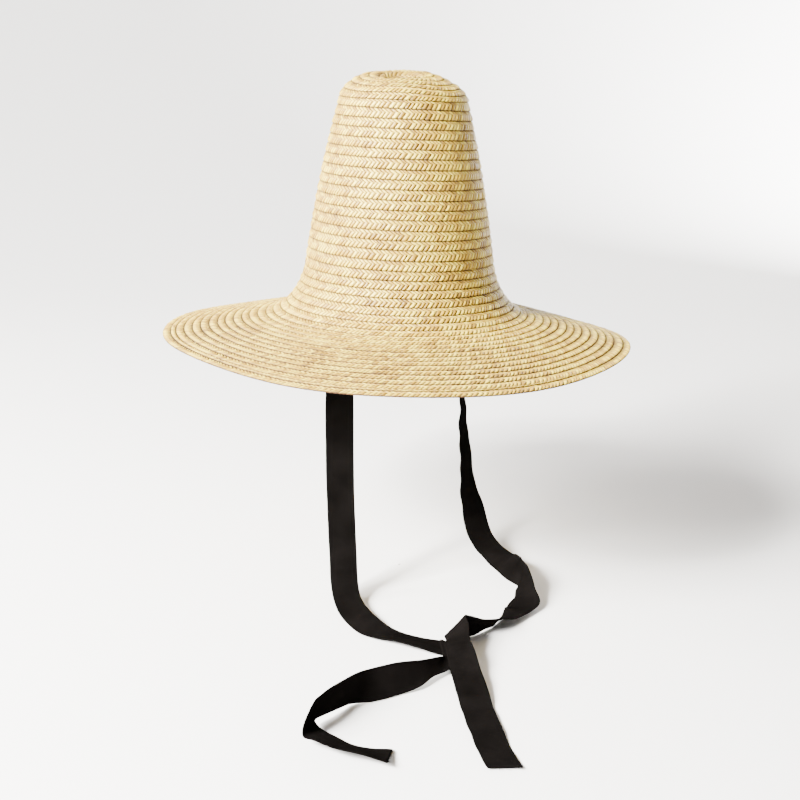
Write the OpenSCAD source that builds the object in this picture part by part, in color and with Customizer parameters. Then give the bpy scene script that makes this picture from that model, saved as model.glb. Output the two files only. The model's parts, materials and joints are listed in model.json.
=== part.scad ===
// Tall cone-crowned sun hat: one straw plait wound and sewn into a crown and a wide drooping brim,
// with a sweatband and two long flat tape ties whose free ends lie in a loose half knot.
// Origin: centre of the head opening, level with the sweatband's lower edge. +Z is up the crown.
// The ties are sewn in at -X (left) and +X (right). -Y is the front.

/* [Head] */
// Head circumference that the sweatband is made for
head_circumference = 570; // [550:5:590]
// Height of the sweatband
band_h = 25; // [20:1:30]

/* [Crown] */
// Height of the crown's top ring above the head opening
crown_h = 203; // [190:1:215]
// Radius of the crown where its rounded shoulder starts
shoulder_r = 58; // [54:1:62]
// Height of the rounded shoulder
shoulder_h = 27; // [22:1:32]
// Radius of the top ring round the sunken tip
top_ring_r = 21; // [19:1:24]
// Depth of the sunken tip
tip_sink = 5; // [3:0.5:7]
// Height of the waist, where the crown begins to flare
waist_h = 30; // [27:1:36]

/* [Brim] */
// Radius of the rim
brim_r = 219; // [205:1:230]
// Drop of the rim below the head opening
brim_drop = 44; // [38:1:50]

/* [Straw plait] */
// Thickness of the plait
plait_t = 1.3; // [1.1:0.1:1.6]
// Distance between rows on the crown
crown_pitch = 8.7; // [8:0.1:9.5]
// Distance between rows on the brim
brim_pitch = 7.7; // [7:0.1:8.5]
// Width of one row hidden under the row before it
overlap = 2; // [1.5:0.1:2.5]

/* [Ties] */
// Width of the tape
tie_w = 26; // [20:1:27]
// Thickness of the tape
tie_t = 0.8; // [0.6:0.1:1]

/* [Hidden] */

$fn = 96;
STRAW = [0.87, 0.76, 0.52];
STRAW_DARK = [0.80, 0.66, 0.40];
THREAD = [0.90, 0.84, 0.68];
BLACK = [0.07, 0.07, 0.07];

thread_t = 0.4;                 // thickness of a laid thread
gap = 0.3;                      // clearance between pieces that do not touch
sewn_gap = 0.2;                 // clearance between curved layers that are sewn together
head_r = head_circumference / (2 * PI);
waist_r = head_r - 3.7;
flare_r = 125;                  // where the flare has become the brim
flare_z = -19.5;
button_r = 12;                  // radius of the coiled centre of the tip
tip_z = crown_h - tip_sink;
CURVE_STEPS = 24;

// ---- profile of the hat, from the centre of the tip out to the rim ----
function bez(a, b, c, d, t) =
    pow(1 - t, 3) * a + 3 * t * pow(1 - t, 2) * b + 3 * t * t * (1 - t) * c + pow(t, 3) * d;
function curve(a, b, c, d, first = 1) =
    [for (i = [first : CURVE_STEPS]) bez(a, b, c, d, i / CURVE_STEPS)];
function shoulder_arc() =
    [for (i = [1 : CURVE_STEPS])
        let (u = 90 * i / CURVE_STEPS)
        [top_ring_r + (shoulder_r - top_ring_r) * sin(u), crown_h - shoulder_h * (1 - cos(u))]];

shoulder_z = crown_h - shoulder_h;
sink_curve = curve([button_r, tip_z], [button_r + 4, tip_z], [top_ring_r - 4, crown_h],
                   [top_ring_r, crown_h]);
side_curve = curve([shoulder_r, shoulder_z], [shoulder_r + 8, shoulder_z - 28],
                   [waist_r - 7, waist_h + 53], [waist_r, waist_h]);
flare_curve = curve([waist_r, waist_h], [waist_r + 2.4, waist_h - 18],
                    [flare_r - 22, flare_z + 5], [flare_r, flare_z]);
brim_curve = curve([flare_r, flare_z], [flare_r + 31, flare_z - 7.2],
                   [brim_r - 31, 9 - brim_drop], [brim_r, -brim_drop]);
profile = concat([[0, tip_z], [button_r, tip_z]], sink_curve, shoulder_arc(), side_curve,
                 flare_curve, brim_curve);

function run_lengths(p, i = 0, s = 0) =
    i >= len(p) ? [] : let (d = i == 0 ? 0 : norm(p[i] - p[i - 1]))
        concat([s + d], run_lengths(p, i + 1, s + d));
runs = run_lengths(profile);
r_table = [for (i = [0 : len(runs) - 1]) [runs[i], profile[i].x]];
z_table = [for (i = [0 : len(runs) - 1]) [runs[i], profile[i].y]];

SIDE_START = len(sink_curve) + CURVE_STEPS + 1;
FLARE_END = SIDE_START + 2 * CURVE_STEPS;
rim_s = runs[len(runs) - 1];
side_s = runs[SIDE_START];
waist_s = runs[SIDE_START + CURVE_STEPS];
break_s = lookup(-flare_z - 8, [for (i = [SIDE_START : FLARE_END]) [-profile[i].y, runs[i]]]);

function at(s) = [lookup(s, r_table), lookup(s, z_table)];
function outward(s) = let (d = at(s + 1) - at(s - 1)) [-d.y, d.x] / norm(d);
function off(s, n) = at(s) + n * outward(s);

// ---- rows of plait, each lying over the next one out ----
function edges(from, to, pitch) =
    let (n = round((to - from) / pitch)) [for (i = [0 : n]) from + (to - from) * i / n];
tip_edges = edges(button_r, side_s, crown_pitch);
side_edges = edges(side_s, waist_s, crown_pitch);
flare_edges = edges(waist_s, break_s, crown_pitch);
edge_row_s = rim_s - brim_pitch;
brim_edges = edges(break_s, edge_row_s, brim_pitch);
function after_first(e) = [for (i = [1 : len(e) - 1]) e[i]];
all_edges = concat(tip_edges, after_first(side_edges), after_first(flare_edges), after_first(brim_edges));

function shingles(e) =
    let (n = len(e) - 1)
    concat([off(e[0] - overlap, 0)],
           [for (i = [0 : n - 1]) each [off(e[i], 0), off(e[i + 1], plait_t)]],
           [off(e[n], 0), off(e[n] - overlap, 0)],
           [for (i = [n - 1 : -1 : 0])
               each (i == 0 ? [off(e[0] - overlap, -plait_t)]
                            : [off(e[i] - overlap, -plait_t), off(e[i] - overlap, 0)])]);

module rows(e) {
    rotate_extrude() polygon(shingles(e));
}

module tip_button() {
    color(STRAW)
    rotate_extrude()
    polygon([[0, tip_z + plait_t / 2], [button_r, tip_z + plait_t], [button_r, tip_z],
             [button_r - overlap, tip_z], [button_r - overlap, tip_z - plait_t],
             [0, tip_z - plait_t]]);
}

module crown_tip() {
    color(STRAW) rows(tip_edges);
}

module crown_side() {
    color(STRAW) rows(side_edges);
}

module crown_flare() {
    color(STRAW) rows(flare_edges);
}

module brim() {
    color(STRAW) rows(brim_edges);
}

// The last row is doubled: the plait's last turn is sewn under it
module brim_edge_row() {
    color(STRAW_DARK)
    rotate_extrude()
    polygon([off(edge_row_s - overlap, 0), off(edge_row_s, 0), off(rim_s, plait_t),
             off(rim_s, -plait_t), off(edge_row_s - overlap, -plait_t)]);
}

// The cut end of the plait, tapered away under the rim
module plait_tail() {
    tail_angle = 12;
    color(STRAW_DARK)
    rotate([0, 0, 100])
    rotate_extrude(angle = tail_angle)
    polygon([off(edge_row_s, -plait_t - sewn_gap), off(rim_s - 1.5, -plait_t - sewn_gap),
             off(rim_s - 1.5, -2 * plait_t), off(edge_row_s + 1.5, -2 * plait_t)]);
}

// One chain of thread inside each overlap
module row_stitching() {
    color(THREAD)
    for (i = [1 : len(all_edges) - 2]) {
        a = off(all_edges[i] - overlap, -plait_t);
        b = off(all_edges[i + 1] - overlap, 0);
        along = (b - a) / norm(b - a);
        inward = [along.y, -along.x];
        p = a + 0.5 * along;
        q = a + 1.3 * along;
        if (norm(b - a) > 5)
            rotate_extrude() polygon([p, q, q + thread_t * inward, p + thread_t * inward]);
    }
}

// ---- sweatband, and what is sewn to it ----
side_r = [for (i = [SIDE_START : FLARE_END]) [-profile[i].y, profile[i].x]];
function wall_r(z, inset) =
    let (slope = (lookup(-z + 1, side_r) - lookup(-z - 1, side_r)) / 2)
    lookup(-z, side_r) - inset * sqrt(1 + slope * slope);
BAND_STEPS = 4;
band_inset = plait_t + thread_t + gap;
band_t = 0.8;
tab_inset = band_inset + band_t + sewn_gap;

function wall_strip(z0, z1, inset, t) =
    concat([for (i = [0 : BAND_STEPS]) let (z = z0 + (z1 - z0) * i / BAND_STEPS) [wall_r(z, inset), z]],
           [for (i = [BAND_STEPS : -1 : 0])
               let (z = z0 + (z1 - z0) * i / BAND_STEPS) [wall_r(z, inset + t), z]]);

module wall_patch(z0, z1, inset, t, middle, angle) {
    rotate([0, 0, middle - angle / 2])
    rotate_extrude(angle = angle)
    polygon(wall_strip(z0, z1, inset, t));
}

module sweatband() {
    color(BLACK) rotate_extrude() polygon(wall_strip(0, band_h, band_inset, band_t));
}

BAND_STITCHES = 72;
module sweatband_stitching() {
    color(THREAD)
    for (i = [0 : BAND_STITCHES - 1])
        if (abs(cos(360 * (i + 0.5) / BAND_STITCHES)) < 0.98)
            wall_patch(1.8, 2.4, tab_inset - sewn_gap / 2, thread_t, 360 * (i + 0.5) / BAND_STITCHES, 2.6);
}

tab_z0 = 3;
tab_z1 = 21;
tab_angle = 2 * asin(tie_w / 2 / head_r);
module tie_tab(middle) {
    color(BLACK) wall_patch(tab_z0, tab_z1, tab_inset, tie_t, middle, tab_angle);
}

module left_tie_tab() {
    tie_tab(180);
}

module right_tie_tab() {
    tie_tab(0);
}

// Two rows of stitches across each tab
module tie_tack(middle) {
    color(BLACK)
    for (z = [15, 18.5])
        wall_patch(z, z + 0.6, tab_inset + tie_t, thread_t, middle, tab_angle - 3);
}

module left_tie_tack() {
    tie_tack(180);
}

module right_tie_tack() {
    tie_tack(0);
}

// ---- ties: flat tape swept along hand-set routes ----
function unit(v) = v / norm(v);
function tangent(p, i) = unit(p[min(i + 1, len(p) - 1)] - p[max(i - 1, 0)]);
function ring(p, w, i) =
    let (d = w[i], spread = len(d) > 3 ? d[3] : 1,
         a = unit([d[0], d[1], d[2]]) * tie_w / 2 * spread, n = unit(cross(tangent(p, i), a)) * tie_t / 2)
    [p[i] - a - n, p[i] + a - n, p[i] + a + n, p[i] - a + n];

module tape(p, w) {
    n = len(p);
    points = [for (i = [0 : n - 1]) each ring(p, w, i)];
    // both wide faces are split along the same diagonal, so a twisted stretch keeps its thickness
    sides = [for (i = [0 : n - 2], k = [0 : 3])
        let (a = 4 * i + k, b = 4 * i + (k + 1) % 4)
        each (k == 2 ? [[a, a + 4, b], [b, a + 4, b + 4]] : [[a, b + 4, b], [a, a + 4, b + 4]])];
    last = 4 * n - 4;
    ends = [[0, 1, 2], [0, 2, 3], [last, last + 2, last + 1], [last, last + 3, last + 2]];
    polyhedron(points = points, faces = concat(sides, ends));
}

// Height of the surface that the tape's free ends lie on
LAID_Z = -280;
// Least height of the middle of the tape laid on it
flat_z = LAID_Z + tie_t / 2 + 0.1;
tie_top_x = 84;
tie_top_z = 3;

// Points on each tie's middle line, from the sewn end, and the direction across the tape there;
// a fourth number widens a slanting line where the tape folds over
left_route = [
    [-tie_top_x, 0, tie_top_z], [-85, 0, -18], [-89, 1, -82], [-90, 1, -131],
    [-90, 1, -171], [-90, 0, -210], [-92, -3, -240], [-95, -6, flat_z + 22],
    [-102, -14, flat_z + 10], [-111, -26, flat_z + 5], [-118, -37, flat_z + 4], [-131, -63, flat_z + 4],
    [-131, -76, flat_z + 2], [-131, -89, flat_z + 2], [-128, -118, flat_z + 3], [-119, -142, flat_z + 1],
    [-115, -148, flat_z + 1], [-113, -149, flat_z + 2], [-116, -148, flat_z + 3], [-127, -158, flat_z + 3],
    [-139, -166, flat_z + 3], [-140, -169, flat_z + 4], [-140, -166, flat_z + 5], [-146, -160, flat_z + 4],
    [-161, -159, flat_z + 7], [-179, -158, flat_z + 9], [-202, -151, flat_z + 12], [-223, -140, flat_z + 12],
    [-240, -134, flat_z + 14], [-257, -133, flat_z + 15], [-273, -133, flat_z + 16], [-283, -133, flat_z + 16],
    [-288, -134, flat_z + 13], [-292, -134, flat_z + 8], [-295, -139, flat_z + 5], [-296, -152, flat_z + 5],
    [-293, -178, flat_z + 5], [-283, -204, flat_z + 3]];
left_across = [
    [0, -10, 0], [0, -10, 0], [5, -9, 0], [6, -8, 0], [6, -8, 0], [6, -8, 0],
    [6, -8, 0], [6, -8, 0], [6, -8, 0], [7, -7, 1], [8, -6, 2], [10, -1, 2],
    [10, 1, 0], [10, 2, -1], [9, 3, -2], [8, 6, 0], [1, 10, 0, 1.4], [1, 10, 0, 1.4],
    [1, 10, 0, 1.4], [-6, 8, 0], [-10, 1, 0, 1.4], [-10, 1, 0, 1.4], [-10, 1, 0, 1.4], [-9, -5, 0],
    [-9, -4, -2], [-8, -4, -5], [-4, -3, -9], [-3, -3, -9], [0, 0, -10], [3, 1, -10],
    [4, 2, -9], [4, 3, -9], [7, 3, -6], [9, 3, -3], [10, 2, -2], [9, 2, -3],
    [8, 4, -4], [9, 5, -2]];
right_route = [
    [tie_top_x, 0, tie_top_z], [86, 0, -18], [97, -3, -90], [103, -5, -129],
    [104, -7, -163], [106, -9, -196], [104, -15, -228], [99, -25, flat_z + 31],
    [91, -34, flat_z + 21], [75, -53, flat_z + 13], [57, -84, flat_z + 9], [48, -99, flat_z + 10],
    [39, -112, flat_z + 11], [30, -124, flat_z + 13], [21, -132, flat_z + 13], [12, -139, flat_z + 11],
    [1, -146, flat_z + 8], [-11, -153, flat_z + 4], [-29, -154, flat_z + 3], [-62, -156, flat_z + 8],
    [-78, -153, flat_z + 10], [-90, -147, flat_z + 12], [-102, -139, flat_z + 14], [-104, -139, flat_z + 15],
    [-110, -145, flat_z + 14], [-122, -154, flat_z + 12], [-134, -166, flat_z + 10], [-149, -180, flat_z + 7],
    [-167, -198, flat_z + 4], [-191, -221, flat_z + 2], [-229, -261, flat_z + 1], [-242, -277, flat_z + 1]];
right_across = [
    [0, 10, 0], [0, 10, 0], [8, 6, 0], [9, 4, -1], [10, 2, -1], [10, 1, -2],
    [10, -2, -1], [8, -5, 0], [6, -8, 0], [6, -8, 1], [6, -7, 4], [6, -5, 6],
    [6, -3, 8], [4, 1, 9], [3, -3, 9], [3, -5, 8], [3, -8, 6], [5, -9, 2, 1.2],
    [-3, -10, 1], [-6, -5, 6], [-6, -3, 7], [-3, -2, 9], [1, -5, 8, 1.2], [1, -6, 8, 1.2],
    [2, -7, 7, 1.1], [2, -9, 4], [3, -9, 3], [4, -9, 2], [5, -8, 1], [6, -8, 0],
    [6, -8, 0], [6, -8, 0]];

module left_tie() {
    color(BLACK) tape(left_route, left_across);
}

module right_tie() {
    color(BLACK) tape(right_route, right_across);
}

tip_button();
crown_tip();
crown_side();
crown_flare();
brim();
brim_edge_row();
plait_tail();
row_stitching();
sweatband();
sweatband_stitching();
left_tie_tab();
right_tie_tab();
left_tie_tack();
right_tie_tack();
left_tie();
right_tie();
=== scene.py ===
import json
import math

import bpy
import numpy as np
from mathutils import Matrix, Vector


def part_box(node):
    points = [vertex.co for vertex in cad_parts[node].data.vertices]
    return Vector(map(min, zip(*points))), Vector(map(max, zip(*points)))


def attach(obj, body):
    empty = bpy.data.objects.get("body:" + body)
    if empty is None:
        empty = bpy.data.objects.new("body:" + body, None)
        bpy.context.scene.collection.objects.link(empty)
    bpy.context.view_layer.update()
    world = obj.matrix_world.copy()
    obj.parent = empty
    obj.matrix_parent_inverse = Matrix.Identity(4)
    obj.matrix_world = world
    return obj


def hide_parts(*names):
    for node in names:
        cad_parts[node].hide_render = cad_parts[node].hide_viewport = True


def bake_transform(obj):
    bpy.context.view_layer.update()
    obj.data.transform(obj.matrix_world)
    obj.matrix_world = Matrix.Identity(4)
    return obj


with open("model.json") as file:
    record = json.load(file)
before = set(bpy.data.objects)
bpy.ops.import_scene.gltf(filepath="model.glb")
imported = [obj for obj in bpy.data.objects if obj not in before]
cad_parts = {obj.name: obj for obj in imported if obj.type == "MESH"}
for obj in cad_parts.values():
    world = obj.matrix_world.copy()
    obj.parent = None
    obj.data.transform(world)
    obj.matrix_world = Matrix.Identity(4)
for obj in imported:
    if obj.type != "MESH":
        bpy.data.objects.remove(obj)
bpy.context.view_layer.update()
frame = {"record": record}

MM = 0.001

# The picture is taken from the front left of the hat: VIEW_TURN is the camera's turn about +Z from
# looking along +Y. Directions called "camera's" below are turned by it.
VIEW_TURN = math.radians(-53.13)


def turned(x, y, z=0.0):
    """A point or direction given in the camera's axes (x right, y away), in the hat's frame."""
    c, s = math.cos(VIEW_TURN), math.sin(VIEW_TURN)
    return np.array([c * x - s * y, s * x + c * y, z])


# ---------------------------------------------------------------- camera and lamps
def make_camera():
    data = bpy.data.cameras.new("camera")
    data.sensor_width = 36
    data.lens = 52.4
    ob = bpy.data.objects.new("camera", data)
    ob.location = turned(0.0008, -1.092, 0.206)
    ob.rotation_euler = (math.radians(90 - 15.97), 0, VIEW_TURN)
    bpy.context.scene.collection.objects.link(ob)
    bpy.context.scene.camera = ob


def make_light(name, place, size, power, colour, aim=(0, 0, 0)):
    data = bpy.data.lights.new(name, "AREA")
    data.shape = "DISK"
    data.size = size
    data.energy = power
    data.color = colour
    ob = bpy.data.objects.new(name, data)
    ob.location = place
    ob.rotation_euler = (Vector(aim) - Vector(place)).to_track_quat("-Z", "Y").to_euler()
    bpy.context.scene.collection.objects.link(ob)


make_camera()


# ---------------------------------------------------------------- small tools
def mesh_object(name, verts, quads, attributes=None):
    """A smooth mesh object from arrays: verts (n, 3), quads (m, 4), and attributes by name on the points."""
    me = bpy.data.meshes.new(name)
    verts = np.asarray(verts, np.float32).reshape(-1, 3)
    quads = np.asarray(quads, np.int32).reshape(-1, 4)
    me.vertices.add(len(verts))
    me.vertices.foreach_set("co", verts.ravel())
    me.loops.add(quads.size)
    me.loops.foreach_set("vertex_index", quads.ravel())
    me.polygons.add(len(quads))
    me.polygons.foreach_set("loop_start", np.arange(0, quads.size, 4, dtype=np.int32))
    me.update(calc_edges=True)
    me.validate()
    for key, values in (attributes or {}).items():
        values = np.asarray(values, np.float32)
        if values.size == len(verts):
            me.attributes.new(key, "FLOAT", "POINT").data.foreach_set("value", values.ravel())
        else:
            me.attributes.new(key, "FLOAT_VECTOR", "POINT").data.foreach_set("vector", values.ravel())
    me.polygons.foreach_set("use_smooth", np.ones(len(me.polygons), bool))
    ob = bpy.data.objects.new(name, me)
    bpy.context.scene.collection.objects.link(ob)
    return ob


def grid_quads(n, m, wrap_m=False, wrap_n=False, flip=False):
    """Quads of an n by m grid of points, numbered row by row."""
    i = np.arange(n if wrap_n else n - 1)
    j = np.arange(m if wrap_m else m - 1)
    i, j = np.meshgrid(i, j, indexing="ij")
    a = i * m + j
    b = i * m + (j + 1) % m
    c = ((i + 1) % n) * m + (j + 1) % m
    d = ((i + 1) % n) * m + j
    q = np.stack([a, d, c, b] if flip else [a, b, c, d], -1)
    return q.reshape(-1, 4)


def dress(ob, material, slot, *nodes):
    """Gives a piece of the hat its material and body, and hides the CAD nodes that it stands for."""
    ob.data.materials.append(material)
    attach(ob, "hat")
    if nodes:
        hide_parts(*nodes)


def wobble(t, seed, waves=4, lowest=1):
    """A smooth function of t (radians, period 2 pi), about -1 to 1, the same on every run."""
    rng = np.random.default_rng(seed)
    out = np.zeros_like(np.asarray(t, float))
    for k in range(lowest, lowest + waves):
        out = out + rng.normal() * np.sin(k * t + rng.uniform(0, 2 * math.pi)) / math.sqrt(waves)
    return out


# ---------------------------------------------------------------- profile of the hat
STEPS = 24                  # points in each stretch of the profile


def bezier(a, b, c, d):
    t = np.linspace(0, 1, STEPS + 1)[1:, None]
    a, b, c, d = (np.array(p, float) for p in (a, b, c, d))
    return (1 - t) ** 3 * a + 3 * t * (1 - t) ** 2 * b + 3 * t * t * (1 - t) * c + t ** 3 * d


PLAIT_T = 1.3 * MM
HEAD_R = frame["record"]["mounts"][0]["dims"]["r_mm"] * MM
WAIST_R = HEAD_R - 3.7 * MM
WAIST_Z = 30 * MM
TOP_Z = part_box("crown_tip")[1].z - PLAIT_T
TIP_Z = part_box("tip_button")[1].z - PLAIT_T
BUTTON_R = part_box("tip_button")[1].x
RING_R = BUTTON_R + 9 * MM
SHOULDER_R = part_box("crown_tip")[1].x - PLAIT_T
SHOULDER_Z = TOP_Z - 27 * MM
FLARE_R, FLARE_Z = 125 * MM, -19.5 * MM
RIM_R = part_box("brim_edge_row")[1].x
RIM_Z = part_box("brim_edge_row")[0].z + PLAIT_T


def make_profile():
    """Radius and height from the tip's centre to the rim: tip, shoulder, side, flare and brim."""
    u = np.linspace(0, math.pi / 2, STEPS + 1)[1:]
    shoulder = np.stack([RING_R + (SHOULDER_R - RING_R) * np.sin(u),
                         TOP_Z - (TOP_Z - SHOULDER_Z) * (1 - np.cos(u))], -1)
    return np.concatenate([
        [[0, TIP_Z], [BUTTON_R, TIP_Z]],
        bezier((BUTTON_R, TIP_Z), (BUTTON_R + 4 * MM, TIP_Z), (RING_R - 4 * MM, TOP_Z), (RING_R, TOP_Z)),
        shoulder,
        bezier((SHOULDER_R, SHOULDER_Z), (SHOULDER_R + 8 * MM, SHOULDER_Z - 28 * MM),
               (WAIST_R - 7 * MM, WAIST_Z + 53 * MM), (WAIST_R, WAIST_Z)),
        bezier((WAIST_R, WAIST_Z), (WAIST_R + 2.4 * MM, WAIST_Z - 18 * MM),
               (FLARE_R - 22 * MM, FLARE_Z + 5 * MM), (FLARE_R, FLARE_Z)),
        bezier((FLARE_R, FLARE_Z), (FLARE_R + 31 * MM, FLARE_Z - 7.2 * MM),
               (RIM_R - 31 * MM, RIM_Z + 9 * MM), (RIM_R, RIM_Z)),
    ])


PROFILE = make_profile()
RUN = np.concatenate([[0], np.cumsum(np.linalg.norm(np.diff(PROFILE, axis=0), axis=1))])
SIDE_I, WAIST_I, FLARE_I = 1 + 2 * STEPS, 1 + 3 * STEPS, 1 + 4 * STEPS      # ends of its stretches
SIDE_S, WAIST_S, RIM_S = RUN[SIDE_I], RUN[WAIST_I], RUN[-1]
BREAK_Z = FLARE_Z + 8 * MM
BREAK_S = np.interp(-BREAK_Z, -PROFILE[WAIST_I:FLARE_I + 1, 1], RUN[WAIST_I:FLARE_I + 1])


def on_profile(s):
    """Radius, height and outward normal of the profile at distance s from the tip's centre."""
    r, z = np.interp(s, RUN, PROFILE[:, 0]), np.interp(s, RUN, PROFILE[:, 1])
    reach = 2.5 * MM
    lo, hi = np.clip(s - reach, 0, RIM_S), np.clip(s + reach, 0, RIM_S)
    dr = np.interp(hi, RUN, PROFILE[:, 0]) - np.interp(lo, RUN, PROFILE[:, 0])
    dz = np.interp(hi, RUN, PROFILE[:, 1]) - np.interp(lo, RUN, PROFILE[:, 1])
    n = np.hypot(dr, dz)
    return r, z, -dz / n, dr / n


# ---------------------------------------------------------------- how the real hat sits out of true
LEAN_RIGHT, LEAN_BACK = math.radians(1.3), math.radians(0.85)
WAVE_R = 95 * MM            # the brim waves from here out to the rim
DIMPLE_U, DIMPLE_V, DIMPLE_R, DIMPLE_DEPTH = -8 * MM, -3 * MM, 18 * MM, 9 * MM


def rotate(a, b, angle):
    """Turns the pair a, b by an angle, clockwise."""
    return a * math.cos(angle) + b * math.sin(angle), -a * math.sin(angle) + b * math.cos(angle)


def brim_wave(a, r, z):
    """How far the brim stands above level and outside its circle at angle a in the camera's axes."""
    w = np.clip((r - WAVE_R) / (RIM_R - WAVE_R), 0, 1.05) ** 2 * (z < 10 * MM)
    rise = w * MM * (-3.4 * np.cos(a) - 3.7 * np.sin(a) + 4.4 * np.cos(2 * a) - 0.9 * np.sin(2 * a))
    rise += w * 1.1 * MM * wobble(a, 5, 5, 3)
    return rise, w * 1.6 * MM * wobble(a, 6, 4, 2)


def top_drop(x, y, z):
    """How far the top sinks: it slopes down to the camera's right and front and has a dimple."""
    u, v = rotate(x, y, VIEW_TURN)
    on_top = np.clip((z - SHOULDER_Z) / (TOP_Z - SHOULDER_Z), 0, 1)
    right = 6 * MM * np.clip((u + 4 * MM) / (48 * MM), 0, 1) ** 1.4
    left = 2.5 * MM * np.clip((-u - 8 * MM) / (40 * MM), 0, 1) ** 1.5
    front = 9 * MM * np.clip((12 * MM - v) / (55 * MM), 0, 1)
    off_dimple = ((u - DIMPLE_U) ** 2 + ((v - DIMPLE_V) * 0.85) ** 2) / DIMPLE_R ** 2
    return on_top * (right + left + front - 1.4 * MM + DIMPLE_DEPTH * np.exp(-off_dimple))


def lean(x, y, z):
    """Tips the whole hat a little to the camera's right and back."""
    u, v = rotate(x, y, VIEW_TURN)
    u, z = rotate(u, z, LEAN_RIGHT)
    v, z = rotate(v, z, LEAN_BACK)
    x, y = rotate(u, v, -VIEW_TURN)
    return np.stack([x, y, z], -1)


def out_of_true(p):
    """Moves points of the ideal hat to where the real one has them: its brim waves, its side is not
    quite round, its tip is dented and it leans. The head opening hardly moves."""
    p = np.array(p, float)
    x, y, z = p[..., 0], p[..., 1], p[..., 2]
    a = np.arctan2(y, x) - VIEW_TURN          # angle in the camera's axes
    r = np.hypot(x, y)
    dz, dr = brim_wave(a, r, z)
    up = np.clip(z / TOP_Z, 0, 1)
    dr = dr + up * (1 - up) * 4 * 1.2 * MM * wobble(a, 7, 3, 2)
    k = 1 + dr / np.maximum(r, 1 * MM)
    return lean(x * k, y * k, z + dz - top_drop(x, y, z))


# ---------------------------------------------------------------- straw plait
STRAND = 4.1 * MM           # distance between neighbouring straws along the plait
CHEVRON = 3.8 * MM          # how far the middle of the plait runs ahead of its edges
CROWN_ROW = 8.7 * MM        # distance between rows
BRIM_ROW = 7.7 * MM


def turns_in(length, pitch):
    return round(length / pitch)


def spiral_edges():
    """Distance from the tip's centre of the plait's inner edge after each whole turn."""
    def steps(a, b, pitch):
        n = turns_in(b - a, pitch)
        return list(a + (b - a) * np.arange(1, n + 1) / n)
    edges = [0.0, BUTTON_R * 0.42, BUTTON_R]
    edges += steps(BUTTON_R, SIDE_S, CROWN_ROW)
    edges += steps(SIDE_S, WAIST_S, CROWN_ROW)
    edges += steps(WAIST_S, BREAK_S, CROWN_ROW)
    edges += steps(BREAK_S, RIM_S - BRIM_ROW, BRIM_ROW)
    return np.array(edges)


EDGES = spiral_edges()
TURNS = len(EDGES) - 1
LAST = TURNS - 0.25         # the spiral ends here, tucked under the turn inside it

# Along the spiral, by turns: the plait's inner edge, which wavers a little, and the length of plait so far
TAU = np.linspace(0.02, TURNS + 1.02, (TURNS + 1) * 240)
STEADY = np.clip((TURNS - 1 - TAU) / 3, 0, 1) * np.clip(TAU / 4, 0, 1)
INNER = np.interp(TAU, np.arange(TURNS + 1), EDGES) + 0.4 * MM * wobble(TAU * 0.37, 11, 6) * STEADY
MIDDLE_R = np.interp(np.interp(TAU[1:] + 0.5, TAU, INNER), RUN, PROFILE[:, 0])
PLAIT_RUN = np.concatenate([[0], np.cumsum(np.diff(TAU) * 2 * math.pi * MIDDLE_R)])


def inner_edge(tau):
    return np.where(tau > TURNS, EDGES[-1], np.interp(tau, TAU, INNER))


def outer_edge(tau):
    """The next turn's inner edge; turn TURNS to TURNS + 1 is the closed row along the brim's edge."""
    ahead = np.minimum(tau + 1, TURNS)
    edge = np.interp(ahead, TAU, INNER)
    closing = np.clip((ahead - LAST + 0.12) / 0.12, 0, 1) ** 2      # meets the closed row at the end
    return np.where(tau > TURNS, RIM_S, edge + closing * (EDGES[-1] - edge))


def on_hat(tau, s, height):
    """Points at turn tau, at distance s from the tip's centre, height off the profile along its normal."""
    r, z, nr, nz = on_profile(np.clip(s, 0.2 * MM, RIM_S + 0.3 * MM))
    r, z = np.maximum(r + nr * height, 0.1 * MM), z + nz * height
    ang = 2 * math.pi * tau
    return np.stack([r * np.cos(ang), r * np.sin(ang), z], -1)


PHASES = np.array([0.0, 0.15, 0.5, 0.85])
DOME = np.array([-0.95, 0.08, 0.44, 0.02])        # height across one straw, mm
EDGE_PAINTED_SHADE = np.array([1.0, 0.32, 0.0, 0.55])      # painted shade, with a little dust, in the gap between two straws
SUNK_SHADE_S = 27 * MM                                  # painted shade darkens the sunken centre of the tip up to here


def no_lift(tau):
    return 0 * tau


class Face:
    """One face of the plait, sampled from its inner edge (0) to its outer edge (1)."""

    def __init__(self, side, middle, across, straw, height, dark, seed):
        self.side = side                  # 1 outside, -1 inside
        self.middle = middle              # where the straws turn back, like across
        self.across = np.array(across)
        self.straw = np.array(straw)      # how much of each straw's roundness shows there
        self.height = np.array(height)    # height off the profile, in plait thicknesses
        self.dark = np.array(dark)        # painted shade, with a little dirt, where rows tuck under one another
        self.seed = seed


# The last list of each face is its painted shade across the plait, darkest under the next row and at each
# row's edge.
OUTSIDE = Face(1, 0.38, [-0.16, 0.0, 0.08, 0.20, 0.33, 0.43, 0.68, 0.91, 1.0, 0.985],
               [0.0, 0.4, 0.9, 1.1, 0.8, 0.8, 1.1, 1.0, 0.7, 0.1],
               [-0.05, 0.0, 0.30, 0.62, 0.66, 0.78, 0.98, 0.88, 0.50, -0.12],
               [1.0, 1.0, 0.75, 0.08, 0.3, 0.3, 0.0, 0.05, 0.7, 1.0], 21)
INSIDE = Face(-1, 0.5, [-0.2, -0.235, -0.06, 0.2, 0.42, 0.52, 0.8],
              [0.1, 0.7, 1.0, 1.0, 0.8, 0.8, 0.4],
              [0.1, -0.5, -0.9, -0.78, -0.6, -0.5, -0.1],
              [1.0, 0.3, 0.0, 0.0, 0.2, 0.2, 1.0], 22)


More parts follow.
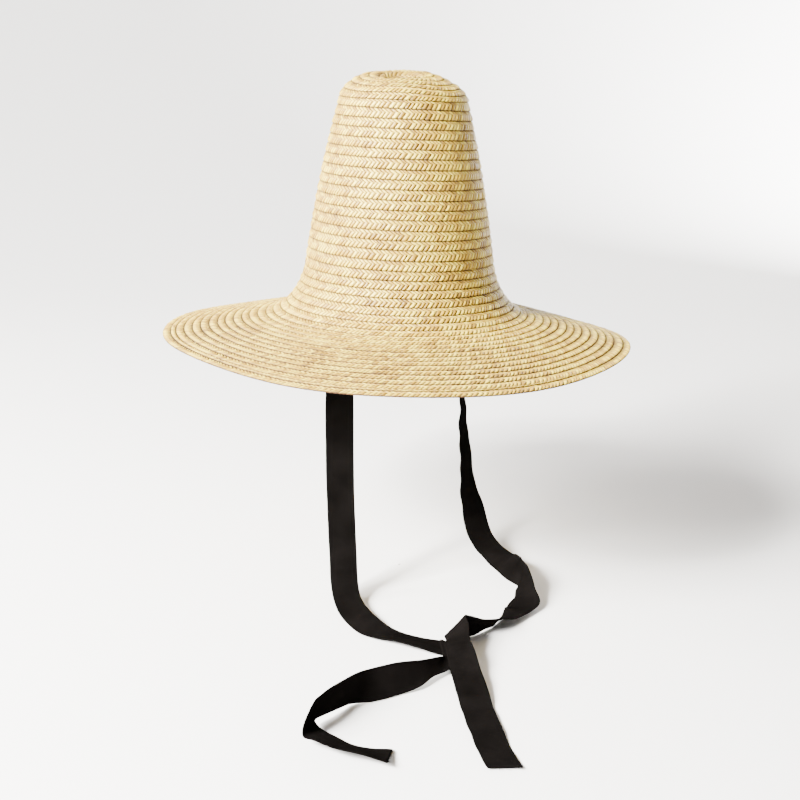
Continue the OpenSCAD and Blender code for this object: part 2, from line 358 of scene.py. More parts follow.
def straw_variety(face, count):
    """How single straws differ, in each half of the plait: size, tilt, height and tone, and their spacing."""
    rng = np.random.default_rng(face.seed)
    size = rng.normal(1, 0.22, (count, 2))
    tilt = rng.normal(0.10, 0.30, (count, 2))
    raised = rng.normal(0, 0.10, (count, 2))
    tone = np.clip(rng.normal(0.5, 0.16, (count, 2)), 0, 1)
    tone = np.where(rng.random((count, 2)) < 0.05, 0.1, tone)
    shift = np.convolve(rng.normal(0, 1.0 * MM, count), [0.3, 0.5, 0.3], "same")
    return size, tilt, raised, tone, shift


def painted_plait_shade(face, row_s, s, v, gap):
    """Painted shade on the straw: under the next row, between straws, in the sunken tip and at the brim's
    steps.
    """
    dark = np.maximum(face.dark, gap * np.minimum(face.straw * 1.6, 1))
    # painted shade in the sunken tip
    sunk = np.clip(1 - s / SUNK_SHADE_S, 0, 1)
    dark = np.maximum(dark, 0.8 * sunk ** 0.5)
    # painted shade below each row's edge on the brim's steps
    on_brim = np.clip((row_s - BREAK_S) / (40 * MM), 0, 1)
    at_step = np.minimum(np.abs(v - 0.08) / 0.18, np.abs(v - 1) / 0.11)
    return np.maximum(dark, on_brim * np.clip(1.2 - at_step, 0, 1))


def plait_face(face, tau0, tau1, inner, outer, lift):
    """One face of the plait between two turns, its straws in relief: a grid of points, and for each
    point the straw's tone, how dark the painted shade is, and the place in the pattern of the fibres."""
    u0, u1 = np.interp([tau0, tau1], TAU, PLAIT_RUN)
    k0, k1 = int(math.ceil(u0 / STRAND)), int(math.ceil(u1 / STRAND))
    n = len(PHASES)
    col = np.arange(k0 * n, k1 * n + 1)
    straw, phase = col // n, PHASES[col % n]
    count = int(PLAIT_RUN[-1] / STRAND) + 3
    size, tilt, raised, tone, shift = straw_variety(face, count)
    across = face.across
    half = (across > face.middle).astype(int)
    reach = np.where(half, 1 - face.middle, face.middle)

    def per_straw(table):
        return table[np.minimum(straw, count - 1)][:, half]

    # the straws slant forward to the middle of the plait, the outer half set half a straw on
    u = (straw + phase) * STRAND + np.interp(straw + phase, np.arange(count), shift)
    slant = CHEVRON * (1 - np.abs(np.clip(across, 0, 1) - face.middle) / reach)
    tau = np.interp(u[:, None] + slant + STRAND / 2 * half, PLAIT_RUN, TAU)
    c = phase[:, None]
    d = DOME[col % n][:, None]
    groove = d < 0
    relief = d * per_straw(size) + ((c - 0.45) * per_straw(tilt) + per_straw(raised)) * ~groove
    wave = np.interp(tau, TAU, 0.16 * wobble(TAU * 0.71, face.seed + 3, 6))
    off = face.straw * relief + wave * np.clip(across, 0, 1)
    h = face.height * PLAIT_T + face.side * MM * off + lift(tau)
    v = across + np.where(across > 0.9, -0.07, 0.05 * (across < -0.2)) * groove
    a, b = inner(tau), outer(tau)
    s = a + v * (b - a)
    dark = painted_plait_shade(face, a, s, v, EDGE_PAINTED_SHADE[col % n][:, None])
    lie = np.stack(np.broadcast_arrays(np.abs(across - face.middle) + 0 * tau, c + 0 * tau,
                                       straw[:, None] + 0.37 * half), -1)
    return on_hat(tau, s, h), per_straw(tone), dark, lie


def make_plait(name, tau0, tau1, material, nodes, inner=inner_edge, outer=outer_edge, lift=no_lift):
    """A piece of plait between two turns, both faces in one mesh."""
    verts, quads, tone, dark, lie = [], [], [], [], []
    base = 0
    for face in (OUTSIDE, INSIDE):
        points, tones, shadows, places = plait_face(face, tau0, tau1, inner, outer, lift)
        n, m = points.shape[:2]
        verts.append(out_of_true(points).reshape(-1, 3))
        quads.append(grid_quads(n, m, flip=(face.side > 0)) + base)
        tone.append(tones.ravel())
        dark.append(shadows.ravel())
        lie.append(places.reshape(-1, 3))
        base += n * m
    # The shade attribute holds painted shade, darkest under rows and in the gaps between straws.
    ob = mesh_object(name, np.concatenate(verts), np.concatenate(quads),
                     {"tone": np.concatenate(tone), "painted_shade": np.concatenate(dark), "lie": np.concatenate(lie)})
    dress(ob, material, "straw", *nodes)


def make_loose_straws(name, count, material):
    """Broken straw ends that stand a little off the plait, thickest along the rim and the row edges."""
    rng = np.random.default_rng(71)
    tau = rng.uniform(3, LAST - 0.5, count)
    tau = np.where(rng.random(count) < 0.3, TURNS + rng.random(count), tau)[:, None, None]
    along = rng.uniform(2.5, 8, (count, 1, 1)) * MM * rng.choice([-1, 1], (count, 1, 1))
    aside = rng.uniform(-2.0, 2.0, (count, 1, 1)) * MM
    rise = rng.uniform(0.3, 1.8, (count, 1, 1)) * MM
    curl = rng.uniform(-0.8, 0.8, (count, 1, 1)) * MM
    q = np.linspace(0, 1, 6)[None, :, None]
    g = (np.arange(4) * math.pi / 2)[None, None, :]
    thick = 0.15 * MM * (1 - 0.75 * q)
    s = outer_edge(tau) - rng.uniform(0.2, 1.6, (count, 1, 1)) * MM
    r = np.interp(s, RUN, PROFILE[:, 0])
    height = 0.6 * MM + q ** 1.6 * rise + curl * q * (1 - q)
    pts = out_of_true(on_hat(tau + q * along / (2 * math.pi * r) + 0 * g,
                             s + q * aside + 1.6 * thick * np.cos(g), height + 0.6 * thick * np.sin(g)))
    one = np.concatenate([grid_quads(6, 4, wrap_m=True), [[3, 2, 1, 0], [20, 21, 22, 23]]])
    quads = (one[None] + (np.arange(count) * 24)[:, None, None]).reshape(-1, 4)
    tone = np.repeat(rng.uniform(0.2, 0.9, count), 24)
    lie = np.stack([0 * tone, tone, tone * 90], -1)
    ob = mesh_object(name, pts.reshape(-1, 3), quads, {"tone": tone, "painted_shade": 0 * tone, "lie": lie})
    dress(ob, material, "straw")


def make_stitches(name, tau, s, height, length, radius, material, slot, node_name):
    """A run of sewn stitches, each a short bowed thread: tau, s and height place its middle on the hat."""
    tau, s, height = (np.asarray(q, float)[:, None, None] for q in np.broadcast_arrays(tau, s, height))
    q = np.array([-0.5, -0.38, 0, 0.38, 0.5])[None, :, None]
    bow = np.array([-1.6, 0.2, 0.7, 0.2, -1.6])[None, :, None] * radius * np.sign(height)
    thick = np.array([0.3, 0.9, 1, 0.9, 0.3])[None, :, None] * radius
    g = (np.arange(4) * math.pi / 2)[None, None, :]
    local_r = np.maximum(on_profile(np.clip(s, 0, RIM_S))[0], 5 * MM)
    t = tau + q * length / (2 * math.pi * local_r) + 0 * g
    pts = out_of_true(on_hat(t, s + thick * np.cos(g) + 0 * q, height + bow + thick * np.sin(g)))
    count = pts.shape[0]
    quads = grid_quads(5, 4, wrap_m=True)
    quads = np.concatenate([quads, [[3, 2, 1, 0], [16, 17, 18, 19]]])
    quads = (quads[None] + (np.arange(count) * 20)[:, None, None]).reshape(-1, 4)
    dress(mesh_object(name, pts.reshape(-1, 3), quads), material, slot, node_name)


# ---------------------------------------------------------------- materials
def new_material(name):
    m = bpy.data.materials.new(name)
    m.use_nodes = True
    nt = m.node_tree
    return m, nt, nt.nodes["Principled BSDF"]


def node(nt, kind, **values):
    n = nt.nodes.new(kind)
    for key, value in values.items():
        if key in n.inputs:
            n.inputs[key].default_value = value
        else:
            setattr(n, key, value)
    return n


def ramp(nt, fac, stops):
    n = nt.nodes.new("ShaderNodeValToRGB")
    while len(n.color_ramp.elements) < len(stops):
        n.color_ramp.elements.new(0.5)
    for e, (pos, colour) in zip(n.color_ramp.elements, stops):
        e.position = pos
        e.color = (*colour, 1)
    nt.links.new(fac, n.inputs["Fac"])
    return n.outputs["Color"]


def attribute(nt, name, output="Fac"):
    return node(nt, "ShaderNodeAttribute", attribute_name=name).outputs[output]


def scaled(nt, vector, by):
    """The vector multiplied by three numbers."""
    n = node(nt, "ShaderNodeVectorMath", operation="MULTIPLY")
    n.inputs[1].default_value = by
    nt.links.new(vector, n.inputs[0])
    return n.outputs[0]


def noise(nt, vector, **values):
    n = node(nt, "ShaderNodeTexNoise", **values)
    nt.links.new(vector, n.inputs["Vector"])
    return n.outputs["Fac"]


def maths(nt, operation, *values):
    """The result of a Math node on the given sockets and numbers."""
    n = node(nt, "ShaderNodeMath", operation=operation)
    for socket, value in zip(n.inputs, values):
        if isinstance(value, float):
            socket.default_value = value
        else:
            nt.links.new(value, socket)
    return n.outputs[0]


def add_bump(nt, bsdf, height, strength, distance):
    n = node(nt, "ShaderNodeBump", Strength=strength, Distance=distance)
    nt.links.new(height, n.inputs["Height"])
    nt.links.new(n.outputs["Normal"], bsdf.inputs["Normal"])


def straw_material():
    """Glossy straw: each straw has its own tone, with fibres, paler and amber patches and painted shade in
    dusty gaps.
    """
    m, nt, bsdf = new_material("straw")
    fibre = noise(nt, scaled(nt, attribute(nt, "lie", "Vector"), (2.5, 9, 3.17)), Scale=1.0, Detail=2.0)
    patch = noise(nt, nt.nodes.new("ShaderNodeTexCoord").outputs["Object"], Scale=26.0, Detail=2.0)
    tone = maths(nt, "MULTIPLY_ADD", patch, 0.45, attribute(nt, "tone"))
    tone = maths(nt, "MULTIPLY_ADD", fibre, 0.22, tone)
    colour = ramp(nt, tone, [(0.3, (0.19, 0.097, 0.003)),
                             (0.52, (0.34, 0.193, 0.005)),
                             (0.78, (0.48, 0.295, 0.011)),
                             (1, (0.69, 0.51, 0.04))])
    painted_shade = attribute(nt, "painted_shade")
    # The shade attribute darkens the colour to dark brown: painted shade under rows, in the gaps and in the
    # sunken tip.
    mix = node(nt, "ShaderNodeMix", data_type="RGBA", blend_type="MULTIPLY")
    nt.links.new(painted_shade, mix.inputs["Factor"])
    nt.links.new(colour, mix.inputs["A"])
    mix.inputs["B"].default_value = (0.06, 0.023, 0.003, 1)
    nt.links.new(mix.outputs["Result"], bsdf.inputs["Base Color"])
    dull = maths(nt, "MULTIPLY_ADD", painted_shade, 0.7, 0.16)
    nt.links.new(maths(nt, "MULTIPLY_ADD", fibre, 0.30, dull), bsdf.inputs["Roughness"])
    add_bump(nt, bsdf, fibre, 0.25, 0.2 * MM)
    bsdf.inputs["Specular IOR Level"].default_value = 0.65
    bsdf.inputs["Specular Tint"].default_value = (1.0, 0.97, 0.78, 1)
    return m


STRAW = straw_material()

# ---------------------------------------------------------------- the hat's plait
N_TIP = 2 + turns_in(SIDE_S - BUTTON_R, CROWN_ROW)
N_SIDE = N_TIP + turns_in(WAIST_S - SIDE_S, CROWN_ROW)
N_FLARE = N_SIDE + turns_in(BREAK_S - WAIST_S, CROWN_ROW)


def make_rows(name, tau0, tau1, pieces, node_name):
    """A long stretch of plait, cut into pieces of equal turns."""
    cuts = np.linspace(tau0, tau1, pieces + 1)
    for i in range(pieces):
        make_plait("%s_%d" % (name, i + 1), cuts[i], cuts[i + 1], STRAW, [node_name])


def make_edge_row():
    """The closed row along the brim's edge; its end tucks under its start."""
    make_plait("plait_edge", TURNS + 0.0001, TURNS + 1.009, STRAW, ["brim_edge_row"],
               lift=lambda tau: -1.1 * PLAIT_T * np.clip((tau - TURNS - 0.994) / 0.006, 0, 1))


def make_tail():
    """The plait's cut end, turned in under the edge row."""
    lo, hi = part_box("plait_tail")
    middle = TURNS + math.atan2(lo.y + hi.y, lo.x + hi.x) / (2 * math.pi) % 1
    length = 40 * MM / (2 * math.pi * RIM_R)
    make_plait("plait_tail_end", middle - length / 2, middle + length / 2, STRAW, ["plait_tail"],
               inner=lambda tau: RIM_S - 15 * MM + (tau - middle) / length * 9 * MM,
               outer=lambda tau: RIM_S - 7.5 * MM + (tau - middle) / length * 7 * MM,
               lift=lambda tau: -2.9 * MM + 0 * tau)


make_plait("plait_tip", 0.05, N_TIP, STRAW, ["tip_button", "crown_tip"])
make_rows("plait_side", N_TIP, N_SIDE, 3, "crown_side")
make_plait("plait_flare", N_SIDE, N_FLARE, STRAW, ["crown_flare"])
make_rows("plait_brim", N_FLARE, LAST, 4, "brim")
make_edge_row()
make_tail()

# ---------------------------------------------------------------- tapes
FLOOR_Z = min(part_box("left_tie")[0].z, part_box("right_tie")[0].z)
TAPE_W, TAPE_T = 26 * MM, 0.8 * MM
FLAT_Z = FLOOR_Z + 0.5 * MM

# Points on each tie's middle line (mm; the third number is the height above tape lying flat), the
# direction across the tape there, and how much wider a slanting line across it is at a fold
LEFT_TIE = [
    (-88, 0, 284, 0, -10, 0), (-87, 0, 274, 0, -10, 0), (-85, 0, 258, 0, -10, 0), (-89, 1, 197.5, 5, -9, 0),
    (-90, 1, 148.5, 6, -8, 0), (-90, 1, 108.5, 6, -8, 0), (-90, 0, 69.5, 6, -8, 0),
    (-92, -3, 39.5, 6, -8, 0), (-95, -6, 22, 6, -8, 0), (-102, -14, 10, 6, -8, 0), (-111, -26, 5, 7, -7, 1),
    (-118, -37, 4, 8, -6, 2), (-131, -63, 4, 10, -1, 2), (-131, -76, 2, 10, 1, 0),
    (-131, -89, 2, 10, 2, -1), (-128, -118, 3, 9, 3, -2), (-119, -142, 1, 8, 6, 0),
    (-115, -148, 1, 1, 10, 0, 1.4), (-113, -149, 2, 1, 10, 0, 1.4), (-116, -148, 3, 1, 10, 0, 1.4),
    (-127, -158, 3, -6, 8, 0), (-139, -166, 3, -10, 1, 0, 1.4), (-140, -169, 4, -10, 1, 0, 1.4),
    (-140, -166, 5, -10, 1, 0, 1.4), (-146, -160, 4, -9, -5, 0), (-161, -159, 7, -9, -4, -2),
    (-179, -158, 9, -8, -4, -5), (-202, -151, 12, -4, -3, -9), (-223, -140, 12, -3, -3, -9),
    (-240, -134, 14, 0, 0, -10), (-257, -133, 15, 3, 1, -10), (-273, -133, 16, 4, 2, -9),
    (-283, -133, 16, 4, 3, -9), (-288, -134, 13, 7, 3, -6), (-292, -134, 8, 9, 3, -3),
    (-295, -139, 5, 10, 2, -2), (-296, -152, 5, 9, 2, -3), (-293, -178, 5, 8, 4, -4),
    (-283, -204, 3, 9, 5, -2),
]
RIGHT_TIE = [
    (88, 0, 284, 0, 10, 0), (87, 0, 274, 0, 10, 0), (86, 0, 258, 0, 10, 0), (97, -3, 189.5, 8, 6, 0),
    (103, -5, 150.5, 9, 4, -1), (104, -7, 116.5, 10, 2, -1), (106, -9, 83.5, 10, 1, -2),
    (104, -15, 51.5, 10, -2, -1), (99, -25, 30.5, 8, -5, 0), (91, -34, 21, 6, -8, 0),
    (75, -53, 13, 6, -8, 1), (57, -84, 9, 6, -7, 4), (48, -99, 10, 6, -5, 6), (39, -112, 11, 6, -3, 8),
    (30, -124, 13, 4, 1, 9), (21, -132, 13, 3, -3, 9), (12, -139, 11, 3, -5, 8), (1, -146, 8, 3, -8, 6),
    (-11, -153, 4, 5, -9, 2, 1.2), (-29, -154, 3, -3, -10, 1), (-62, -156, 8, -6, -5, 6),
    (-78, -153, 10, -6, -3, 7), (-90, -147, 12, -3, -2, 9), (-102, -139, 14, 1, -5, 8, 1.2),
    (-104, -139, 15, 1, -6, 8, 1.2), (-110, -145, 14, 2, -7, 7, 1.1), (-122, -154, 12, 2, -9, 4),
    (-134, -166, 10, 3, -9, 3), (-149, -180, 7, 4, -9, 2), (-167, -198, 4, 5, -8, 1),
    (-191, -221, 2, 6, -8, 0), (-229, -261, 1, 6, -8, 0), (-242, -277, 1, 6, -8, 0),
]


def curve_point(p, t, u):
    """The point at u, between the middle two, of a Catmull-Rom curve through four points p at times t."""
    p0, p1, p2, p3 = p
    t0, t1, t2, t3 = t
    a1 = ((t1 - u) * p0 + (u - t0) * p1) / (t1 - t0)
    a2 = ((t2 - u) * p1 + (u - t1) * p2) / (t2 - t1)
    a3 = ((t3 - u) * p2 + (u - t2) * p3) / (t3 - t2)
    b1 = ((t2 - u) * a1 + (u - t0) * a2) / (t2 - t0)
    b2 = ((t3 - u) * a2 + (u - t1) * a3) / (t3 - t1)
    return ((t2 - u) * b1 + (u - t1) * b2) / (t2 - t1)


def smooth_rungs(rungs, step):
    """The tape's two edges at even steps along it, on a smooth curve through the rungs."""
    wider = np.array([r[6] if len(r) > 6 else 1 for r in rungs])
    r = np.array([q[:6] for q in rungs], float)
    mid = r[:, :3] * MM + np.array([0, 0, FLAT_Z])
    across = r[:, 3:] / np.linalg.norm(r[:, 3:], axis=1)[:, None] * (TAPE_W / 2 * wider)[:, None]
    p = np.concatenate([mid - across, mid + across], axis=1)
    q = np.concatenate([[2 * p[0] - p[1]], p, [2 * p[-1] - p[-2]]])
    gap = np.linalg.norm(np.diff((q[:, :3] + q[:, 3:]) / 2, axis=0), axis=1)
    t = np.concatenate([[0], np.cumsum(np.sqrt(np.maximum(gap, 0.3 * MM)))])
    rows = []
    for i in range(1, len(p)):
        n = max(2, int(round(gap[i] / step)))
        for u in np.linspace(t[i], t[i + 1], n, endpoint=False):
            rows.append(curve_point(q[i - 1:i + 3], t[i - 1:i + 3], u))
    rows.append(p[-1])
    return np.array(rows)


# across the tape, with more points where the edges are thicker
COLS = np.array([0, 0.03, 0.06, 0.12, 0.2, 0.3, 0.4, 0.5, 0.6, 0.7, 0.8, 0.88, 0.94, 0.97, 1])
FRAYS = 70                  # loose threads at a cut end


def unit(v):
    return v / np.linalg.norm(v, axis=1)[:, None]


def tape_ripple(rng, run):
    """The cloth is never quite flat: slow ripples, stronger at the edges."""
    ripple = np.zeros((len(run), len(COLS)))
    for _ in range(9):
        wave = rng.uniform(18, 70) * MM
        side = rng.uniform(-1, 1)
        size = rng.normal() * 0.16 * MM
        along = np.sin(2 * math.pi * run / wave + rng.uniform(0, 6.3))
        ripple += size * along[:, None] * (1 + 1.2 * side * (2 * COLS - 1))[None, :]
    return ripple * np.clip(run / (60 * MM), 0, 1)[:, None]


def fray(rng, a, b, way, normal, across):
    """One loose thread at the cut end between edges a and b, and how far across it stands."""
    c = rng.uniform(0.01, 0.99)
    start = a * (1 - c) + b * c
    length = rng.uniform(0.4, 2.2) * MM * (2 if rng.random() < 0.08 else 1)
    way = way + rng.normal(0, 0.18, 3)
    bend = rng.normal(0, 0.25, 3)
    points = []
    for q in np.linspace(0, 1, 4):
        centre = start + way * length * q + bend * length * q * q
        centre[2] = max(centre[2], FLOOR_Z + 0.2 * MM)
        r = 0.11 * MM * (1 - 0.6 * q)
        for g in (0, 2 * math.pi / 3, 4 * math.pi / 3):
            points.append(centre + r * (math.cos(g) * normal + math.sin(g) * across))
    return np.array(points), c


def tape_sheet(rungs, rng):
    """The tape's middle surface as a grid of points, its directions and the length of tape so far."""
    edges = smooth_rungs(rungs, 1.6 * MM)
    a, b = edges[:, :3], edges[:, 3:]
    middle = (a + b) / 2
    run = np.concatenate([[0], np.cumsum(np.linalg.norm(np.diff(middle, axis=0), axis=1))])
    along = unit(np.gradient(middle, axis=0))
    across = unit(b - a)
    normal = unit(np.cross(along, across))
    for _ in range(3):
        normal[1:-1] = (normal[:-2] + 2 * normal[1:-1] + normal[2:]) / 4
    normal = unit(normal)
    w = COLS[None, :, None]
    sheet = a[:, None] * (1 - w) + b[:, None] * w
    sheet = sheet + normal[:, None] * tape_ripple(rng, run)[:, :, None]
    sheet[:, :, 2] = np.maximum(sheet[:, :, 2], FLOOR_Z + TAPE_T / 2 + 0.05 * MM)
    return sheet, along, across, normal, run


def tape_loop(sheet, normal):
    """Both faces of the tape, all round its section; woven tape is thicker near its edges."""
    selvedge = 0.25 * np.exp(-((COLS - 0.03) / 0.02) ** 2) + 0.25 * np.exp(-((COLS - 0.97) / 0.02) ** 2)
    thick = TAPE_T / 2 * (1 + selvedge)
    thick[[0, -1]] *= 0.3
    up = sheet + normal[:, None] * thick[None, :, None]
    down = sheet - normal[:, None] * thick[None, :, None]
    return np.concatenate([up, down[:, ::-1]], axis=1)


def make_tape(name, rungs, material, node_name, seed):
    """A tie from its sewn end to its frayed cut end."""
    rng = np.random.default_rng(seed)
    sheet, along, across, normal, run = tape_sheet(rungs, rng)
    loop = tape_loop(sheet, normal)
    n, m = loop.shape[:2]
    k = len(COLS)
    # place in the cloth's pattern: along and across the tape in mm, and its two faces apart
    run_mm, wide_mm = run / MM, TAPE_W / MM
    lie = np.zeros((n, m, 3))
    lie[:, :, 0] = run_mm[:, None]
    lie[:, :, 1] = np.concatenate([COLS, COLS[::-1]])[None, :] * wide_mm
    lie[:, k:, 2] = 7
    last = (n - 1) * m
    start = [[j, m - 1 - j, m - 2 - j, j + 1] for j in range(k - 1)]
    end = [[last + j, last + j + 1, last + m - 2 - j, last + m - 1 - j] for j in range(k - 1)]
    verts, lies = [loop.reshape(-1, 3)], [lie.reshape(-1, 3)]
    faces = [grid_quads(n, m, wrap_m=True), np.array(start), np.array(end)]
    for i in range(FRAYS):
        points, c = fray(rng, sheet[-1, 0], sheet[-1, -1], along[-1], normal[-1], across[-1])
        verts.append(points)
        faces.append(grid_quads(4, 3, wrap_m=True) + n * m + 12 * i)
        lies.append(np.tile([run_mm[-1], c * wide_mm, 0], (12, 1)))
    ob = mesh_object(name, np.concatenate(verts), np.concatenate(faces), {"lie": np.concatenate(lies)})
    ob.data.materials.append(material)
    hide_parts(node_name)
    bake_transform(ob)


def cloth_material(name, colour, tint, weave):
    """Black cotton: a close weave in relief, faint lint and slow changes of tone along it."""
    m, nt, bsdf = new_material(name)
    lie = attribute(nt, "lie", "Vector")
    sep = nt.nodes.new("ShaderNodeSeparateXYZ")
    nt.links.new(scaled(nt, lie, (weave, weave, 1)), sep.inputs[0])
    warp = maths(nt, "SINE", sep.outputs["X"])
    weft = maths(nt, "SINE", maths(nt, "ADD", sep.outputs["Y"], 1.3))
    lint = noise(nt, lie, Scale=0.9, Detail=6.0, Roughness=0.65)
    slow = noise(nt, lie, Scale=0.035, Detail=2.0)
    tone = maths(nt, "MULTIPLY_ADD", lint, 0.55, slow)
    nt.links.new(ramp(nt, tone, [(0.35, colour), (1.0, tint)]), bsdf.inputs["Base Color"])
    height = maths(nt, "MULTIPLY_ADD", lint, 0.6, maths(nt, "MULTIPLY", warp, weft))
    add_bump(nt, bsdf, height, 0.6, 0.15 * MM)
    bsdf.inputs["Roughness"].default_value = 0.85
    bsdf.inputs["Specular IOR Level"].default_value = 0.0
    return m


def thread_material(name, colour, tint):
    """Sewing cotton: a fine twist and slight unevenness of colour."""
    m, nt, bsdf = new_material(name)
    place = nt.nodes.new("ShaderNodeTexCoord").outputs["Object"]
    twist = node(nt, "ShaderNodeTexWave", Scale=900.0, Distortion=1.0)
    nt.links.new(place, twist.inputs["Vector"])
    uneven = noise(nt, place, Scale=180.0, Detail=2.0)
    nt.links.new(ramp(nt, uneven, [(0.35, colour), (0.65, tint)]), bsdf.inputs["Base Color"])
    add_bump(nt, bsdf, twist.outputs["Fac"], 0.4, 0.1 * MM)
    bsdf.inputs["Roughness"].default_value = 0.6
    return m


THREAD = thread_material("cotton_thread", (0.46, 0.33, 0.12), (0.62, 0.48, 0.22))
BLACK_THREAD = thread_material("black_thread", (0.004, 0.0035, 0.003), (0.012, 0.010, 0.009))
TAPE = cloth_material("black_tape", (0.0009, 0.0008, 0.0007), (0.0034, 0.0029, 0.0027), 6.0)
make_tape("tape_left", LEFT_TIE, TAPE, "left_tie", 31)
make_tape("tape_right", RIGHT_TIE, TAPE, "right_tie", 32)

make_loose_straws("loose_straws", 420, STRAW)

# ---------------------------------------------------------------- row stitching
def stitch_rows(name, tau0, tau1):
    """The stitches through the overlaps between two turns, seen on the inside."""
    u0, u1 = np.interp([tau0, tau1], TAU, PLAIT_RUN)
    rng = np.random.default_rng(41)
    u = np.arange(u0, u1, 5 * MM)
    tau = np.interp(u + rng.normal(0, 0.25 * MM, len(u)), PLAIT_RUN, TAU)
    s = outer_edge(tau) - 0.9 * MM + rng.normal(0, 0.15 * MM, len(u))
    make_stitches(name, tau, s, -1.45 * MM, 3.9 * MM, 0.25 * MM, THREAD, "thread", "row_stitching")


stitch_rows("stitching_crown", 1.0, N_FLARE)
stitch_rows("stitching_brim", N_FLARE, LAST)

# ---------------------------------------------------------------- sweatband, tabs and tacks
BAND_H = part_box("sweatband")[1].z
BAND_T = 0.9 * MM
BAND_ROUND_MM = 570         # its length round the head
BAND_OUT = PLAIT_T + 0.25 * MM          # how far inside the profile the band's outer face lies
TAB_IN = BAND_OUT + BAND_T + 0.15 * MM  # and the tabs' outer faces


def wall_s(z):
    """Distance along the profile at height z in the head opening."""
    return np.interp(-np.asarray(z, float), -PROFILE[SIDE_I:FLARE_I + 1, 1], RUN[SIDE_I:FLARE_I + 1])


def make_band():
    """Ribbed black band sewn inside the opening, its top edge a little slack."""
    n = 960
    tau = np.arange(n) / n
    z = np.array([0.0, 0.3, 1.2, 2.5, 4, 9, 15, 21, 24, 24.7, 25.0]) / 25 * BAND_H
    slack = np.clip((z - 0.5 * BAND_H) / (0.5 * BAND_H), 0, 1) ** 2
    rib = 0.07 * MM * np.cos(2 * math.pi * np.arange(n) / 2)
    wave = 0.45 * MM * wobble(2 * math.pi * tau, 51, 9, 5)
    # thickness at each height, in BAND_T: both edges are hemmed
    edge = np.array([0.25, 0.85, 1.25, 1.0, 0.75, 0.75, 0.75, 0.75, 1.1, 1.1, 0.3])
    near = -BAND_OUT - (0.3 * MM + wave[:, None]) * slack
    face = near - edge * BAND_T - rib[:, None]
    top = z + 0.25 * MM * wobble(2 * math.pi * tau, 52, 7, 9)[:, None] * slack
    out = on_hat(tau[:, None], wall_s(top), face)
    back = on_hat(tau[:, None], wall_s(top), near)
    loop = out_of_true(np.concatenate([out, back[:, ::-1]], axis=1))
    m = loop.shape[1]
    lie = np.zeros((n, m, 3))
    lie[:, :, 0] = tau[:, None] * BAND_ROUND_MM
    lie[:, :, 1] = np.concatenate([z, z[::-1]]) / MM
    quads = grid_quads(n, m, wrap_m=True, wrap_n=True)
    ob = mesh_object("band", loop.reshape(-1, 3), quads, {"lie": lie.reshape(-1, 3)})
    dress(ob, BAND, "band", "sweatband")


def make_tab(name, turn, node_name, seed):
    """The tie's sewn end: tape turned under at the top, following the curve of the band."""
    cols = np.linspace(-1, 1, 15)
    # heights up the band, and how far the hem at the top doubles the tape there
    z = np.array([2.9, 4, 6, 9, 12, 15, 17, 18.2, 19.4, 20.4, 21]) * MM
    twice = np.array([0, 0, 0, 0, 0, 0.1, 0.7, 1, 1, 0.8, 0.3])
    pull = 0.25 * MM * wobble(cols * 2, seed, 3)
    tau = turn + cols[:, None] * (TAPE_W / 2) / (2 * math.pi * HEAD_R) + 0 * z
    s = wall_s(z) + 0 * tau
    near = -TAB_IN + 0 * tau
    belly = np.sin(np.linspace(0, math.pi, len(z)))
    face = near - TAPE_T * (1 + 0.8 * twice) - (0.15 * MM + pull[:, None]) * belly
    loop = out_of_true(np.concatenate([on_hat(tau, s, face), on_hat(tau, s, near)[:, ::-1]], axis=1))
    n, m = loop.shape[:2]
    lie = np.zeros((n, m, 3))
    lie[:, :, 0] = np.concatenate([z, z[::-1]]) / MM
    lie[:, :, 1] = (cols[:, None] + 1) / 2 * TAPE_W / MM
    caps = [[j, j + 1, m - 2 - j, m - 1 - j] for j in range(m // 2 - 1)]
    ends = [[(n - 1) * m + q for q in reversed(c)] for c in caps]
    quads = np.concatenate([grid_quads(n, m, wrap_m=True), caps, ends])
    ob = mesh_object(name, loop.reshape(-1, 3), quads, {"lie": lie.reshape(-1, 3)})
    dress(ob, TAPE, "tape", node_name)


def make_tack(name, turn, node_name):
    """Two rows of black stitches across a tab, joined at the sides."""
    angle = (TAPE_W / 2 - 1.6 * MM) / (2 * math.pi * HEAD_R)
    across = np.linspace(-1, 1, 9) * angle
    tau = np.concatenate([turn + across, turn + across])
    z = np.repeat([15.3 * MM, 18.9 * MM], 9)
    make_stitches(name, tau, wall_s(z), -TAB_IN - TAPE_T * 1.75, 2.2 * MM, 0.22 * MM, BLACK_THREAD,
                  "tack_thread", node_name)


def stitch_band():
    """Straw-coloured stitches round the foot of the band, left out behind the tabs."""
    count = 72
    tau = (np.arange(count) + 0.5) / count
    tau = tau[np.abs(np.cos(2 * math.pi * tau)) < 0.98]
    make_stitches("stitching_band", tau, wall_s(2.1 * MM), -BAND_OUT - 1.12 * BAND_T, 5.2 * MM, 0.24 * MM,
                  THREAD, "thread", "sweatband_stitching")


BAND = cloth_material("black_band", (0.0016, 0.0013, 0.0011), (0.0050, 0.0040, 0.0035), 5.3)
make_band()
make_tab("tab_left", 0.5, "left_tie_tab", 61)
make_tab("tab_right", 0.0, "right_tie_tab", 62)
make_tack("tack_left", 0.5, "left_tie_tack")
make_tack("tack_right", 0.0, "right_tie_tack")
stitch_band()

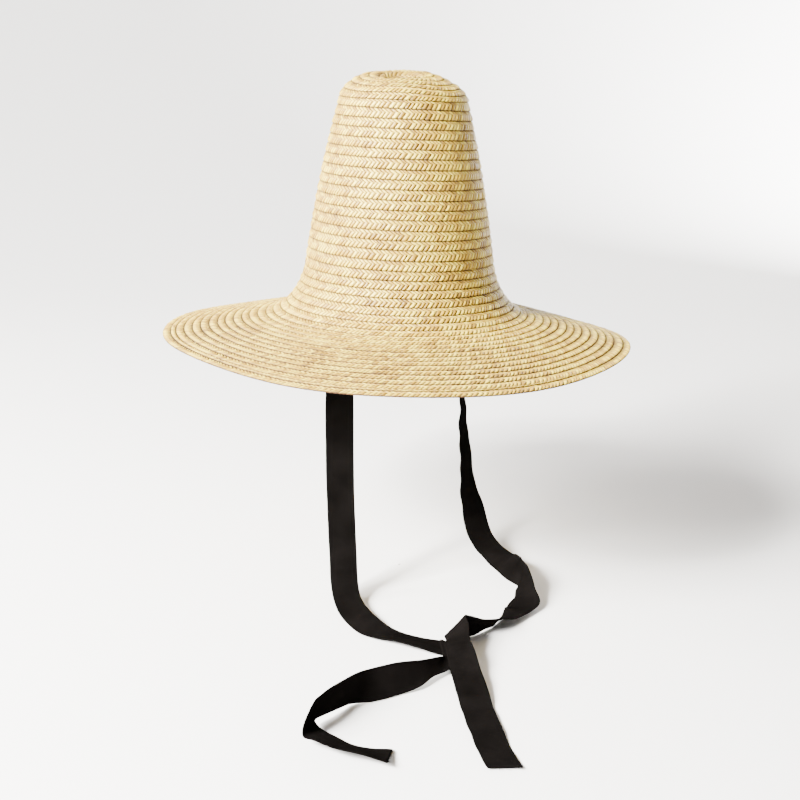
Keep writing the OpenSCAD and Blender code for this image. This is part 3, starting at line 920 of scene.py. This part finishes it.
# ---------------------------------------------------------------- stage
def make_floor():
    """A pale floor that sweeps up into a wall all round."""
    n = 96
    flat_r, sweep, wall_z = 1.5, 2.8, 4.5       # metres
    a = np.arange(n) * 2 * math.pi / n
    u = np.linspace(0, math.pi / 2, 24)
    r = np.concatenate([[0.001, 0.5, 0.9, 1.2], flat_r + sweep * np.sin(u), [flat_r + sweep]])
    z = np.concatenate([[0, 0, 0, 0], sweep * (1 - np.cos(u)) ** 1.15, [wall_z]])
    rings = [np.stack([q * np.cos(a), q * np.sin(a), np.full(n, FLOOR_Z + h)], -1) for q, h in zip(r, z)]
    # the wall beside and behind the camera is darker, so that the shadows keep their depth
    ahead = np.cos(a - VIEW_TURN - math.pi / 2)
    pale = [1 - np.clip((q - 0.9) / 0.6, 0, 1) * np.clip(0.65 - ahead, 0, 0.65) for q in r]
    ob = mesh_object("floor", np.concatenate(rings), grid_quads(len(r), n, wrap_m=True, flip=True),
                     {"pale": np.concatenate(pale)})
    m, nt, bsdf = new_material("floor")
    stops = [(0.35, (0.17, 0.166, 0.162)), (1.0, (0.74, 0.73, 0.72))]
    nt.links.new(ramp(nt, attribute(nt, "pale"), stops), bsdf.inputs["Base Color"])
    bsdf.inputs["Roughness"].default_value = 0.6
    ob.data.materials.append(m)


def make_room_light():
    """Dim warm light from all round, brightest from the camera's far left and above."""
    world = bpy.data.worlds.new("studio")
    bpy.context.scene.world = world
    world.use_nodes = True
    nt = world.node_tree
    towards = node(nt, "ShaderNodeVectorMath", operation="DOT_PRODUCT")
    towards.inputs[1].default_value = turned(-0.8, 0.5, 0.33)
    nt.links.new(nt.nodes.new("ShaderNodeTexCoord").outputs["Generated"], towards.inputs[0])
    strength = nt.nodes.new("ShaderNodeMapRange")
    nt.links.new(towards.outputs["Value"], strength.inputs["Value"])
    for key, value in (("From Min", -0.8), ("From Max", 0.9), ("To Min", 0.08), ("To Max", 0.70)):
        strength.inputs[key].default_value = value
    background = nt.nodes["Background"]
    background.inputs["Color"].default_value = (0.88, 0.82, 0.77, 1)
    nt.links.new(strength.outputs["Result"], background.inputs["Strength"])


make_floor()
make_room_light()
make_light("key", turned(-1.75, -1.5, 1.4), 1.1, 720, (1.0, 0.99, 0.96), aim=(0, 0, -0.05))
make_light("side", turned(-2.2, -0.5, 1.2), 0.9, 210, (1.0, 0.985, 0.96), aim=(0, 0, 0.0))
make_light("glint", turned(-1.2, -1.3, 1.1), 0.22, 90, (1.0, 1.0, 0.97), aim=(0, 0, 0.05))
make_light("back", turned(1.5, 1.6, 1.0), 1.6, 400, (1.0, 1.0, 1.0), aim=tuple(turned(2.6, 2.9, 0.5)))
make_light("backdrop", turned(-0.6, 1.5, 1.7), 1.0, 50, (1.0, 1.0, 1.0), aim=tuple(turned(-0.4, 3.4, 0.6)))
